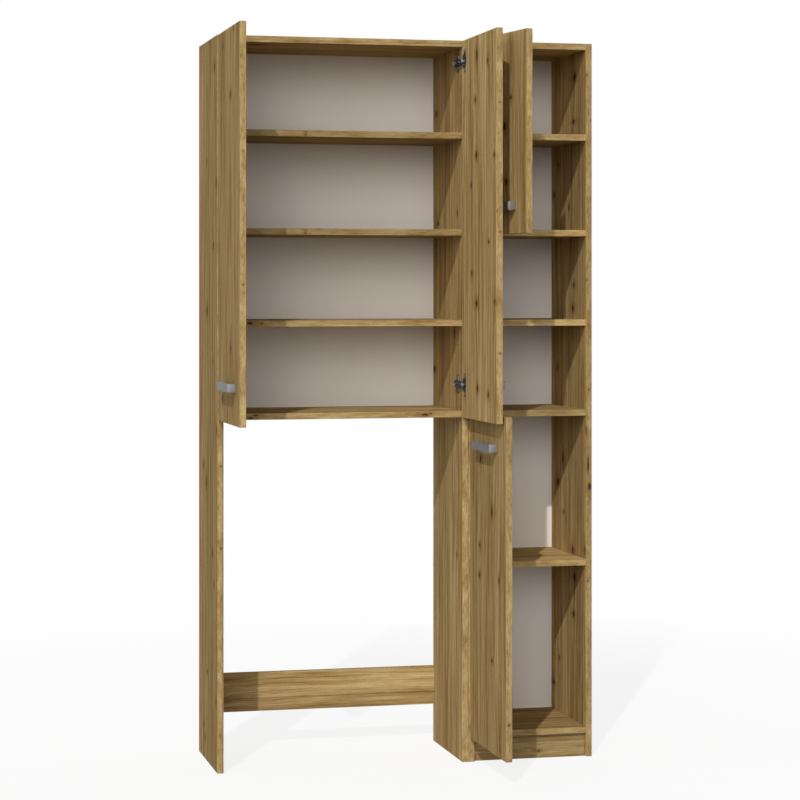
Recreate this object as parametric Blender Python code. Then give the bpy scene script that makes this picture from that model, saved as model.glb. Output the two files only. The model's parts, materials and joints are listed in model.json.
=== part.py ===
# Bathroom cabinet in knotty oak decor: a wide unit with an open bay below, and a tall column beside it.
# Metres, +Z up. The front faces -Y and the floor is z = 0. Plan positions below are counted from the
# wide unit's outer left plane (x) and from the front edges of the boards (y), and the last step moves
# the whole set so that its origin is under the middle of its box, doors open as they rest.
import math

import bmesh
import bpy
from mathutils import Matrix

# The two units
HEIGHT = 1.820
DEPTH = 0.300
WIDE_WIDTH = 0.640
COLUMN_WIDTH = 0.326
BOARD = 0.016
BACK_BOARD = 0.003
BACK_INSET = 0.002      # the back boards end this far inside the outer planes
EDGE_ROUND = 0.0006     # the small round of every board edge
FIT = 0.0003            # gap between pieces that touch

# Heights above the floor, shared by both units where their boards line up
BAY_HEIGHT = 0.870
PLINTH_HEIGHT = 0.060
PLINTH_RECESS = 0.010
RAIL_HEIGHT = 0.100     # rear rail of the open bay
RAIL_ABOVE_FLOOR = 0.100

# Compartments above the bay, from below, as shares of their free height. The top one takes the rest.
FOURTH_SHARE = 0.2460
THIRD_SHARE = 0.2437
SECOND_SHARE = 0.2621
LINEN_SHARE = 0.5296    # the column's lowest compartment, of the free height behind its lower door

# Doors
DOOR_THICKNESS = 0.016
DOOR_BEHIND_GAP = 0.002
WIDE_SIDE_REVEAL = 0.0008
COLUMN_SIDE_REVEAL = 0.0022
DOOR_MIDDLE_GAP = 0.003
DOOR_TOP_REVEAL = 0.001
DOOR_BOTTOM_REVEAL = 0.001
PIVOT_FROM_EDGE = 0.006     # hinge axis from the door's hinge edge
PIVOT_FROM_FRONT = 0.0055   # hinge axis from the door's outer face
WIDE_DOOR_OPEN = math.radians(90)
LOWER_DOOR_OPEN = math.radians(89.6)
UPPER_DOOR_CLEARANCE = 0.0006   # its handle stops this far from the wide unit's open door

# Concealed hinges
HINGE_FROM_TOP = 0.052
HINGE_FROM_BOTTOM = 0.083
BORE_RADIUS = 0.0175
BORE_TAB = 0.003            # wood left between the bore and the door's edge
CUP_WALL = 0.0007
CUP_SIDE_CLEARANCE = 0.0003
FLANGE_RIM = 0.0005         # flange beyond the bore
FLANGE_THICKNESS = 0.0008
EAR_LENGTH = 0.060
EAR_WIDTH = 0.014
EAR_OFFSET = 0.006          # ears sit this far from the cup's middle, away from the door's edge
EAR_SCREW_SPREAD = 0.048
KNUCKLE_RADIUS = 0.0013
KNUCKLE_WIDTH = 0.006
KNUCKLE_CLEARANCE = 0.0004
FINGER_THICKNESS = 0.0016
LEG_THICKNESS = 0.003
LEG_CLEARANCE = 0.0009      # between the leg and the turning door
ARM_WIDTH = 0.015
ARM_SETBACK = 0.0015        # arm body behind the boards' front edges
ARM_LENGTH = 0.060
PLATE_THICKNESS = 0.0021
PLATE_FRONT = 0.020         # plate's front end behind the boards' front edges
PLATE_LENGTH = 0.046
PLATE_WIDTH = 0.018
WING_LENGTH = 0.048         # the plate's cross piece, up and down
WING_WIDTH = 0.016
WING_CENTRE = 0.037
WING_SCREW_SPREAD = 0.032
SCREW_RADIUS = 0.0038
SCREW_HEAD = 0.0008
FITTING_ROUND = 0.0003
SINK = 0.0005               # how deep joined shapes reach into each other
OVERRUN = 0.002             # how far a cutter runs past what it cuts

# Strap handles
HANDLE_LENGTH = 0.160
HANDLE_HEIGHT = 0.020
HANDLE_REACH = 0.021
HANDLE_THICKNESS = 0.004
HANDLE_BEND = 0.006
HANDLE_ROUND = 0.0006
WIDE_HANDLE_UP = 0.090      # handle's middle above the door's bottom
WIDE_HANDLE_IN = 0.050      # handle's end from the door's free edge
UPPER_HANDLE_UP = 0.067
UPPER_HANDLE_IN = 0.058
LOWER_HANDLE_DOWN = 0.079   # handle's middle below the door's top
LOWER_HANDLE_IN = 0.076

# Counts
LEVELS_ABOVE_BAY = 5            # bottom, three shelves and top
LEVELS_BEHIND_LOWER_DOOR = 2    # the column's bottom and its linen shelf
BORE_SIDES = 32
KNUCKLE_SIDES = 16
SCREW_SIDES = 12
BEND_STEPS = 6
SHARP_EDGE = math.radians(35)   # edges flatter than this are shaded smooth

# Finishes: colour, roughness, metallic
OAK = ((0.39, 0.27, 0.12), 0.55, 0.0)
PALE_BACK = ((0.72, 0.69, 0.65), 0.6, 0.0)
SATIN_METAL = ((0.42, 0.42, 0.42), 0.35, 1.0)
NICKEL = ((0.55, 0.54, 0.52), 0.28, 1.0)

# Worked out from the sizes above
COLUMN_LEFT = WIDE_WIDTH + FIT
COLUMN_RIGHT = COLUMN_LEFT + COLUMN_WIDTH
FREE_ABOVE_BAY = HEIGHT - BAY_HEIGHT - LEVELS_ABOVE_BAY * BOARD
LOWER_SHELF = BAY_HEIGHT + BOARD + FOURTH_SHARE * FREE_ABOVE_BAY
MIDDLE_SHELF = LOWER_SHELF + BOARD + THIRD_SHARE * FREE_ABOVE_BAY
UPPER_SHELF = MIDDLE_SHELF + BOARD + SECOND_SHARE * FREE_ABOVE_BAY
FREE_BEHIND_LOWER_DOOR = BAY_HEIGHT - PLINTH_HEIGHT - LEVELS_BEHIND_LOWER_DOOR * BOARD
LINEN_SHELF = PLINTH_HEIGHT + BOARD + LINEN_SHARE * FREE_BEHIND_LOWER_DOOR
WIDE_PIVOT_IN = WIDE_SIDE_REVEAL + PIVOT_FROM_EDGE       # hinge axis from the unit's outer plane
COLUMN_PIVOT_IN = COLUMN_SIDE_REVEAL + PIVOT_FROM_EDGE
PIVOT_Y = -(DOOR_BEHIND_GAP + DOOR_THICKNESS - PIVOT_FROM_FRONT)
DOOR_BACK = DOOR_THICKNESS - PIVOT_FROM_FRONT       # door's inner face from the axis
WIDE_DOOR_WIDTH = (WIDE_WIDTH - DOOR_MIDDLE_GAP) / 2 - WIDE_SIDE_REVEAL
COLUMN_DOOR_WIDTH = COLUMN_WIDTH - 2 * COLUMN_SIDE_REVEAL


def upper_opening():
    """The turn that brings the upper door's handle, at its corner near the hinge, to the open wide door."""
    along = COLUMN_DOOR_WIDTH - PIVOT_FROM_EDGE - UPPER_HANDLE_IN - HANDLE_LENGTH
    out = PIVOT_FROM_FRONT + HANDLE_REACH
    wide_door = WIDE_WIDTH - WIDE_PIVOT_IN + PIVOT_FROM_FRONT
    stop = wide_door + UPPER_DOOR_CLEARANCE - (COLUMN_LEFT + COLUMN_PIVOT_IN)
    return math.acos(stop / math.hypot(along, out)) - math.atan2(out, along)


PIVOT_IN = {"wide": WIDE_PIVOT_IN, "column": COLUMN_PIVOT_IN}
DOORS = {
    "wide_left_door": {
        "unit": "wide", "plane": 0.0, "hand": 1,
        "open": WIDE_DOOR_OPEN, "width": WIDE_DOOR_WIDTH,
        "bottom": BAY_HEIGHT, "top": HEIGHT - DOOR_TOP_REVEAL,
        "handle_z": BAY_HEIGHT + WIDE_HANDLE_UP, "handle_in": WIDE_HANDLE_IN,
    },
    "wide_right_door": {
        "unit": "wide", "plane": WIDE_WIDTH, "hand": -1,
        "open": WIDE_DOOR_OPEN, "width": WIDE_DOOR_WIDTH,
        "bottom": BAY_HEIGHT, "top": HEIGHT - DOOR_TOP_REVEAL,
        "handle_z": BAY_HEIGHT + WIDE_HANDLE_UP, "handle_in": WIDE_HANDLE_IN,
    },
    "column_upper_door": {
        "unit": "column", "plane": COLUMN_LEFT, "hand": 1,
        "open": upper_opening(), "width": COLUMN_DOOR_WIDTH,
        "bottom": MIDDLE_SHELF, "top": HEIGHT - DOOR_TOP_REVEAL,
        "handle_z": MIDDLE_SHELF + UPPER_HANDLE_UP, "handle_in": UPPER_HANDLE_IN,
    },
    "column_lower_door": {
        "unit": "column", "plane": COLUMN_LEFT, "hand": 1,
        "open": LOWER_DOOR_OPEN, "width": COLUMN_DOOR_WIDTH,
        "bottom": PLINTH_HEIGHT + DOOR_BOTTOM_REVEAL, "top": BAY_HEIGHT + BOARD,
        "handle_z": BAY_HEIGHT + BOARD - LOWER_HANDLE_DOWN, "handle_in": LOWER_HANDLE_IN,
    },
}


def clear_scene():
    for old in list(bpy.data.objects):
        bpy.data.objects.remove(old, do_unlink=True)


def make_material(name, finish):
    colour, roughness, metallic = finish
    material = bpy.data.materials.new(name + "_finish")
    material.use_nodes = True
    shader = material.node_tree.nodes["Principled BSDF"]
    shader.inputs["Base Color"].default_value = (*colour, 1.0)
    shader.inputs["Roughness"].default_value = roughness
    shader.inputs["Metallic"].default_value = metallic
    return material


def place(name, mesh, finish, parent):
    """A named object with its own copy of the mesh and its own material."""
    piece = bpy.data.objects.new(name, mesh.copy())
    bpy.context.scene.collection.objects.link(piece)
    piece.data.materials.append(make_material(name, finish))
    piece.parent = parent
    return piece


def round_edges(piece, width):
    bevel = piece.modifiers.new("Edge round", "BEVEL")
    bevel.width = width
    bevel.segments = 1
    bevel.limit_method = "ANGLE"


def empty_at(name, location, turn, parent):
    marker = bpy.data.objects.new(name, None)
    bpy.context.scene.collection.objects.link(marker)
    marker.location = location
    marker.rotation_euler = (0, 0, turn)
    marker.parent = parent
    return marker


def box_mesh(low, high):
    mesh = bpy.data.meshes.new("box")
    shape = bmesh.new()
    bmesh.ops.create_cube(shape, size=1)
    middle = [(a + b) / 2 for a, b in zip(low, high)]
    sides = [b - a for a, b in zip(low, high)]
    bmesh.ops.scale(shape, vec=sides, verts=shape.verts)
    bmesh.ops.translate(shape, vec=middle, verts=shape.verts)
    shape.to_mesh(mesh)
    shape.free()
    return mesh


def disc_mesh(centre, radius, low, high, axis, sides):
    """A round disc from low to high along Y or Z. centre is its place across that axis."""
    mesh = bpy.data.meshes.new("disc")
    shape = bmesh.new()
    bmesh.ops.create_cone(
        shape, cap_ends=True, segments=sides, radius1=radius, radius2=radius, depth=high - low
    )
    if axis == "Y":
        bmesh.ops.rotate(shape, matrix=Matrix.Rotation(math.pi / 2, 3, "X"), verts=shape.verts)
        spot = (centre[0], (low + high) / 2, centre[1])
    else:
        spot = (centre[0], centre[1], (low + high) / 2)
    bmesh.ops.translate(shape, vec=spot, verts=shape.verts)
    shape.to_mesh(mesh)
    shape.free()
    return mesh


def prism_mesh(outline, low, high):
    """The plan outline, drawn up from low to high."""
    mesh = bpy.data.meshes.new("prism")
    shape = bmesh.new()
    face = shape.faces.new([shape.verts.new((x, y, low)) for x, y in outline])
    drawn = bmesh.ops.extrude_face_region(shape, geom=[face])
    lifted = [item for item in drawn["geom"] if isinstance(item, bmesh.types.BMVert)]
    bmesh.ops.translate(shape, vec=(0, 0, high - low), verts=lifted)
    bmesh.ops.recalc_face_normals(shape, faces=shape.faces)
    shape.to_mesh(mesh)
    shape.free()
    return mesh


def combined(base, steps):
    """One mesh from the base after each step joins a mesh to it or cuts one from it."""
    body = bpy.data.objects.new("work", base)
    bpy.context.scene.collection.objects.link(body)
    helpers = []
    for operation, mesh in steps:
        helper = bpy.data.objects.new("helper", mesh)
        bpy.context.scene.collection.objects.link(helper)
        helpers.append(helper)
        step = body.modifiers.new(operation, "BOOLEAN")
        step.operation = operation
        step.solver = "EXACT"
        step.object = helper
    graph = bpy.context.evaluated_depsgraph_get()
    result = bpy.data.meshes.new_from_object(body.evaluated_get(graph))
    for used in [body, *helpers]:
        bpy.data.objects.remove(used, do_unlink=True)
    result.shade_smooth()
    result.set_sharp_from_angle(angle=SHARP_EDGE)
    return result


def board(name, low, high, finish, parent):
    piece = place(name, box_mesh(low, high), finish, parent)
    round_edges(piece, EDGE_ROUND)
    return piece


def unit_sides(unit, left, right, parent):
    board(unit + "_left_side", (left, 0, 0), (left + BOARD, DEPTH, HEIGHT), OAK, parent)
    board(unit + "_right_side", (right - BOARD, 0, 0), (right, DEPTH, HEIGHT), OAK, parent)


def unit_levels(unit, left, right, levels, parent):
    """The level boards between the sides. levels gives each one's name and underside."""
    for name, underside in levels.items():
        low = (left + BOARD + FIT, 0, underside)
        high = (right - BOARD - FIT, DEPTH, underside + BOARD)
        board(unit + "_" + name, low, high, OAK, parent)


def unit_back(unit, left, right, lowest, parent):
    low = (left + BACK_INSET, DEPTH + FIT, lowest + BACK_INSET)
    high = (right - BACK_INSET, DEPTH + FIT + BACK_BOARD, HEIGHT - BACK_INSET)
    board(unit + "_back", low, high, PALE_BACK, parent)


def wide_unit(parent):
    levels = {
        "top": HEIGHT - BOARD, "upper_shelf": UPPER_SHELF, "middle_shelf": MIDDLE_SHELF,
        "lower_shelf": LOWER_SHELF, "bottom": BAY_HEIGHT,
    }
    unit_sides("wide", 0, WIDE_WIDTH, parent)
    unit_levels("wide", 0, WIDE_WIDTH, levels, parent)
    unit_back("wide", 0, WIDE_WIDTH, BAY_HEIGHT, parent)
    low = (BOARD + FIT, DEPTH - BOARD, RAIL_ABOVE_FLOOR)
    high = (WIDE_WIDTH - BOARD - FIT, DEPTH, RAIL_ABOVE_FLOOR + RAIL_HEIGHT)
    board("wide_rear_rail", low, high, OAK, parent)


def column_unit(parent):
    levels = {
        "top": HEIGHT - BOARD, "upper_shelf": UPPER_SHELF, "middle_shelf": MIDDLE_SHELF,
        "lower_shelf": LOWER_SHELF, "door_shelf": BAY_HEIGHT, "linen_shelf": LINEN_SHELF,
        "bottom": PLINTH_HEIGHT,
    }
    unit_sides("column", COLUMN_LEFT, COLUMN_RIGHT, parent)
    unit_levels("column", COLUMN_LEFT, COLUMN_RIGHT, levels, parent)
    unit_back("column", COLUMN_LEFT, COLUMN_RIGHT, PLINTH_HEIGHT, parent)
    low = (COLUMN_LEFT + BOARD + FIT, PLINTH_RECESS, 0)
    high = (COLUMN_RIGHT - BOARD - FIT, PLINTH_RECESS + BOARD, PLINTH_HEIGHT - FIT)
    board("column_plinth", low, high, OAK, parent)


# Hinge shapes are drawn about the axis of a door hinged on its left: x runs along the closed door
# away from the hinge edge, y into the unit, and z = 0 is the hinge's middle height.
CUP_CENTRE = BORE_TAB + BORE_RADIUS - PIVOT_FROM_EDGE
CUP_FLOOR = -(KNUCKLE_RADIUS + KNUCKLE_CLEARANCE)
BORE_FLOOR = CUP_FLOOR - CUP_WALL - FIT
FLANGE_LOW = DOOR_BACK + FIT
FLANGE_HIGH = FLANGE_LOW + FLANGE_THICKNESS
FLANGE_RADIUS = BORE_RADIUS + FLANGE_RIM
BOARD_FRONT = -PIVOT_Y                  # the boards' front edges from the axis


def cup_mesh():
    outer = BORE_RADIUS - CUP_SIDE_CLEARANCE
    centre = (CUP_CENTRE, 0)
    ear = CUP_CENTRE + EAR_OFFSET
    flange = disc_mesh(centre, FLANGE_RADIUS, FLANGE_LOW, FLANGE_HIGH, "Y", BORE_SIDES)
    ears = box_mesh(
        (ear - EAR_WIDTH / 2, FLANGE_LOW, -EAR_LENGTH / 2), (ear + EAR_WIDTH / 2, FLANGE_HIGH, EAR_LENGTH / 2)
    )
    shell = disc_mesh(centre, outer, CUP_FLOOR - CUP_WALL, FLANGE_LOW + SINK, "Y", BORE_SIDES)
    steps = [("UNION", ears), ("UNION", shell)]
    for side in (-1, 1):
        spot = (ear, side * EAR_SCREW_SPREAD / 2)
        top = FLANGE_HIGH + SCREW_HEAD
        steps.append(("UNION", disc_mesh(spot, SCREW_RADIUS, FLANGE_HIGH - SINK, top, "Y", SCREW_SIDES)))
    hollow = disc_mesh(centre, outer - CUP_WALL, CUP_FLOOR, FLANGE_HIGH + OVERRUN, "Y", BORE_SIDES)
    steps.append(("DIFFERENCE", hollow))
    return combined(flange, steps)


def side_face(unit):
    """The side board's inner face from the axis."""
    return BOARD - PIVOT_IN[unit]


def turning_reach():
    """How far the door's rim and the cup's flange reach from the axis as they turn past the arm."""
    return max(
        math.hypot(PIVOT_FROM_EDGE, DOOR_BACK), math.hypot(CUP_CENTRE - FLANGE_RADIUS, FLANGE_HIGH)
    )


def arm_mesh(unit):
    leg_near = turning_reach() + LEG_CLEARANCE
    leg_far = leg_near + LEG_THICKNESS
    arm_low = side_face(unit) + FIT + PLATE_THICKNESS + FIT
    arm_front = BOARD_FRONT + ARM_SETBACK
    arm_end = arm_front + ARM_LENGTH
    toe = -KNUCKLE_RADIUS
    neck = [
        (leg_near, toe), (leg_far, toe), (leg_far, arm_end), (arm_low, arm_end),
        (arm_low, arm_front), (leg_near, arm_front),
    ]
    half = KNUCKLE_WIDTH / 2
    finger = box_mesh((0, toe, -half), (leg_near + SINK, toe + FINGER_THICKNESS, half))
    knuckle = disc_mesh((0, 0), KNUCKLE_RADIUS, -half, half, "Z", KNUCKLE_SIDES)
    return combined(
        prism_mesh(neck, -ARM_WIDTH / 2, ARM_WIDTH / 2), [("UNION", finger), ("UNION", knuckle)]
    )


def plate_mesh(unit):
    low = side_face(unit) + FIT
    high = low + PLATE_THICKNESS
    front = BOARD_FRONT + PLATE_FRONT
    wing = BOARD_FRONT + WING_CENTRE
    base = box_mesh((low, front, -PLATE_WIDTH / 2), (high, front + PLATE_LENGTH, PLATE_WIDTH / 2))
    wings = box_mesh(
        (low, wing - WING_WIDTH / 2, -WING_LENGTH / 2), (high, wing + WING_WIDTH / 2, WING_LENGTH / 2)
    )
    steps = [("UNION", wings)]
    for side in (-1, 1):
        head = disc_mesh((0, 0), SCREW_RADIUS, high - SINK, high + SCREW_HEAD, "Z", SCREW_SIDES)
        head.transform(Matrix.Rotation(math.pi / 2, 4, "Y"))
        head.transform(Matrix.Translation((0, wing, side * WING_SCREW_SPREAD / 2)))
        steps.append(("UNION", head))
    return combined(base, steps)


def handle_mesh():
    """A flat strap bent twice, drawn with its far foot at x = 0 and the door's outer face at y = 0."""
    def corner(centre_x, centre_y, radius, start):
        turn = [start + step * math.pi / 2 / BEND_STEPS for step in range(BEND_STEPS + 1)]
        return [(centre_x + radius * math.cos(a), centre_y + radius * math.sin(a)) for a in turn]

    far = HANDLE_LENGTH - HANDLE_BEND
    arc_y = HANDLE_BEND - HANDLE_REACH
    outer = corner(HANDLE_BEND, arc_y, HANDLE_BEND, math.pi) + corner(far, arc_y, HANDLE_BEND, 1.5 * math.pi)
    inner_bend = HANDLE_BEND - HANDLE_THICKNESS
    inner = corner(HANDLE_BEND, arc_y, inner_bend, math.pi) + corner(far, arc_y, inner_bend, 1.5 * math.pi)
    feet = [(0, -FIT), *outer, (HANDLE_LENGTH, -FIT), (HANDLE_LENGTH - HANDLE_THICKNESS, -FIT)]
    outline = feet + inner[::-1] + [(HANDLE_THICKNESS, -FIT)]
    mesh = prism_mesh(outline, -HANDLE_HEIGHT / 2, HANDLE_HEIGHT / 2)
    mesh.shade_smooth()
    mesh.set_sharp_from_angle(angle=SHARP_EDGE)
    return mesh


def hinge_heights(door):
    return {"upper": door["top"] - HINGE_FROM_TOP, "lower": door["bottom"] + HINGE_FROM_BOTTOM}


def pivot_of(door):
    return (door["plane"] + door["hand"] * PIVOT_IN[door["unit"]], PIVOT_Y)


def make_door(name, door, shapes, parent):
    """A door on an empty at its hinge axis, with its handle and hinges."""
    hand = door["hand"]
    x, y = pivot_of(door)
    axis = empty_at(name + "_axis", (x, y, 0), -hand * door["open"], parent)
    ends = sorted((-hand * PIVOT_FROM_EDGE, hand * (door["width"] - PIVOT_FROM_EDGE)))
    leaf = board(
        name, (ends[0], -PIVOT_FROM_FRONT, door["bottom"]), (ends[1], DOOR_BACK, door["top"]), OAK, axis
    )
    flip = 0 if hand == 1 else math.pi      # the fittings turn over for a door hinged on its right
    for level, height in hinge_heights(door).items():
        cutter_mesh = disc_mesh(
            (hand * CUP_CENTRE, height), BORE_RADIUS, BORE_FLOOR, DOOR_BACK + OVERRUN, "Y", BORE_SIDES
        )
        cutter = bpy.data.objects.new(name + "_bore_" + level, cutter_mesh)
        bpy.context.scene.collection.objects.link(cutter)
        cutter.parent = axis
        cutter.hide_render = True
        cutter.display_type = "WIRE"
        bore = leaf.modifiers.new("Bore " + level, "BOOLEAN")
        bore.operation = "DIFFERENCE"
        bore.solver = "EXACT"
        bore.object = cutter
        cup = place(name + "_hinge_cup_" + level, shapes["cup"], NICKEL, axis)
        cup.location = (0, 0, height)
        cup.rotation_euler = (0, flip, 0)
        for part in ("arm", "plate"):
            shape = shapes[door["unit"], part]
            fitting = place(name + "_hinge_" + part + "_" + level, shape, NICKEL, parent)
            fitting.location = (x, y, height)
            fitting.rotation_euler = (0, flip, 0)
            round_edges(fitting, FITTING_ROUND)
    free_edge = door["width"] - PIVOT_FROM_EDGE
    foot = free_edge - door["handle_in"] - HANDLE_LENGTH
    handle = place(name + "_handle", shapes["handle"], SATIN_METAL, axis)
    handle.location = (hand * foot, -PIVOT_FROM_FRONT, door["handle_z"])
    handle.rotation_euler = (0, flip, 0)
    round_edges(handle, HANDLE_ROUND)


def plan_reach(door):
    """Plan corners of the open door and its handle, which set the whole set's box."""
    x, y = pivot_of(door)
    free_edge = door["width"] - PIVOT_FROM_EDGE
    handle_end = free_edge - door["handle_in"]
    front = -PIVOT_FROM_FRONT
    local = [(free_edge, front), (free_edge, DOOR_BACK)]
    local += [(handle_end, front - HANDLE_REACH), (handle_end - HANDLE_LENGTH, front - HANDLE_REACH)]
    c, s = math.cos(door["open"]), math.sin(door["open"])
    return [(x + door["hand"] * (px * c + py * s), y - px * s + py * c) for px, py in local]


def set_middle():
    """Plan middle of the whole set's box, doors open."""
    points = [point for door in DOORS.values() for point in plan_reach(door)]
    points += [(0, DEPTH + FIT + BACK_BOARD), (COLUMN_RIGHT, 0)]
    across, along = zip(*points)
    return (min(across) + max(across)) / 2, (min(along) + max(along)) / 2


def main():
    clear_scene()
    middle_x, middle_y = set_middle()
    whole = empty_at("bathroom_cabinet", (-middle_x, -middle_y, 0), 0, None)
    wide_unit(whole)
    column_unit(whole)
    shapes = {"cup": cup_mesh(), "handle": handle_mesh()}
    for unit in PIVOT_IN:
        shapes[unit, "arm"] = arm_mesh(unit)
        shapes[unit, "plate"] = plate_mesh(unit)
    for name, door in DOORS.items():
        make_door(name, door, shapes, whole)


main()
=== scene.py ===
# Looks of a bathroom cabinet in knotty oak decor: a wide unit with an open bay below and a tall
# column beside it, doors open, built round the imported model.
import json
import math

import bmesh
import bpy
from mathutils import Matrix, Vector

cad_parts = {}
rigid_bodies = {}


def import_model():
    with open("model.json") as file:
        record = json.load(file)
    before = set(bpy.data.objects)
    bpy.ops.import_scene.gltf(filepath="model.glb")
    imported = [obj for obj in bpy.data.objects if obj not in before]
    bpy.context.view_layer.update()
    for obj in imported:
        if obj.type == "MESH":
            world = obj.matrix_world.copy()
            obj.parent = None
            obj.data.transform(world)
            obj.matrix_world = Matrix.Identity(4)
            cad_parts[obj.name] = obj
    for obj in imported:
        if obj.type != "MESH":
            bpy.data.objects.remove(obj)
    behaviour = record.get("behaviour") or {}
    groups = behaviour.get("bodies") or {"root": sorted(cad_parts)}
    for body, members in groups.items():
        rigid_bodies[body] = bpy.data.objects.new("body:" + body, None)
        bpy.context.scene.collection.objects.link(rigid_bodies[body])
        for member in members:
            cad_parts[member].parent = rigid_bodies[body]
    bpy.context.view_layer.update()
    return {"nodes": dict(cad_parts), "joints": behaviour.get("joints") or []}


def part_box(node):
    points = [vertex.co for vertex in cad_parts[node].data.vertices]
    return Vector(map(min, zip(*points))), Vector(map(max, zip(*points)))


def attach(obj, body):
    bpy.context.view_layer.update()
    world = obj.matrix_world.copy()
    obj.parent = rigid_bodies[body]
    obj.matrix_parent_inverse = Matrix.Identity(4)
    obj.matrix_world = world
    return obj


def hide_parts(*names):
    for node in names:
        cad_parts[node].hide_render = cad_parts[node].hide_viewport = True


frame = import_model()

parts = frame["nodes"]
joints = {joint["name"]: joint for joint in frame["joints"]}
print("frame loaded:", len(parts), "parts")


# Small helpers for building node trees
nodeGrid = {"columns": 9, "stepX": 220, "stepY": -260}


def newNode(tree, kind, **settings):
    row, column = divmod(len(tree.nodes), nodeGrid["columns"])
    node = tree.nodes.new(kind)
    node.location = (nodeGrid["stepX"] * column, nodeGrid["stepY"] * row)
    for name, value in settings.items():
        setattr(node, name, value)
    return node


def feed(tree, socket, value):
    if isinstance(value, bpy.types.NodeSocket):
        tree.links.new(value, socket)
    else:
        socket.default_value = value


def maths(tree, operation, *values):
    node = newNode(tree, "ShaderNodeMath", operation=operation)
    for socket, value in zip(node.inputs, values):
        feed(tree, socket, value)
    return node.outputs[0]


def vectors(tree, operation, *values):
    node = newNode(tree, "ShaderNodeVectorMath", operation=operation)
    for socket, value in zip(node.inputs, values):
        feed(tree, socket, value)
    return node.outputs["Value" if operation in ("LENGTH", "DOT_PRODUCT") else "Vector"]


def vectorOf(tree, x, y, z=0.0):
    node = newNode(tree, "ShaderNodeCombineXYZ")
    for socket, value in zip(node.inputs, (x, y, z)):
        feed(tree, socket, value)
    return node.outputs[0]


def partsOf(tree, vector):
    node = newNode(tree, "ShaderNodeSeparateXYZ")
    feed(tree, node.inputs[0], vector)
    return node.outputs


def grainNoise(tree, coords, often, detail=2.0, sharpness=0.5, distortion=0.0):
    # often is how many times the noise turns over in a metre, along and across
    node = newNode(tree, "ShaderNodeTexNoise", noise_dimensions="2D")
    feed(tree, node.inputs["Vector"], vectors(tree, "MULTIPLY", coords, (*often, 0)))
    node.inputs["Scale"].default_value = 1
    node.inputs["Detail"].default_value = detail
    node.inputs["Roughness"].default_value = sharpness
    node.inputs["Distortion"].default_value = distortion
    return node.outputs["Fac"]


noiseRange = (0.3, 0.7)     # nearly all of a noise lies between these
facingLimit = 0.6           # a surface looks along an axis when their cosine is over this


def spread(tree, value, fromLow, fromHigh, toLow, toHigh, smooth=False):
    node = newNode(tree, "ShaderNodeMapRange", interpolation_type="SMOOTHSTEP" if smooth else "LINEAR")
    feed(tree, node.inputs["Value"], value)
    numbers = {"From Min": fromLow, "From Max": fromHigh, "To Min": toLow, "To Max": toHigh}
    for name, number in numbers.items():
        feed(tree, node.inputs[name], number)
    return node.outputs["Result"]


def mixColours(tree, factor, under, over, blend="MIX"):
    node = newNode(tree, "ShaderNodeMix", data_type="RGBA", blend_type=blend)
    feed(tree, node.inputs[0], factor)
    for socket, colour in zip(node.inputs[6:8], (under, over)):
        feed(tree, socket, colour if isinstance(colour, bpy.types.NodeSocket) else (*colour, 1))
    return node.outputs[2]


def mixVectors(tree, factor, under, over):
    node = newNode(tree, "ShaderNodeMix", data_type="VECTOR")
    feed(tree, node.inputs[0], factor)
    feed(tree, node.inputs[4], under)
    feed(tree, node.inputs[5], over)
    return node.outputs[1]


def rampOf(tree, factor, stops):
    node = newNode(tree, "ShaderNodeValToRGB")
    feed(tree, node.inputs[0], factor)
    ramp = node.color_ramp
    while len(ramp.elements) < len(stops):
        ramp.elements.new(0.5)
    for element, (place, colour) in zip(ramp.elements, stops):
        element.position = place
        element.color = (*colour, 1)
    return node.outputs[0]


def newMaterial(name, roughness=0.5, metallic=0.0, specular=0.5):
    material = bpy.data.materials.new(name)
    material.use_nodes = True
    shader = material.node_tree.nodes["Principled BSDF"]
    shader.inputs["Roughness"].default_value = roughness
    shader.inputs["Metallic"].default_value = metallic
    shader.inputs["Specular IOR Level"].default_value = specular
    return material, material.node_tree, shader


def addRelief(tree, shader, height, distance, strength):
    bump = newNode(tree, "ShaderNodeBump")
    bump.inputs["Strength"].default_value = strength
    bump.inputs["Distance"].default_value = distance
    tree.links.new(height, bump.inputs["Height"])
    tree.links.new(bump.outputs[0], shader.inputs["Normal"])


def dress(name, material):
    mesh = parts[name].data
    if not mesh.materials:
        mesh.materials.append(material)
    for slot in parts[name].material_slots:
        slot.material = material


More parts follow.
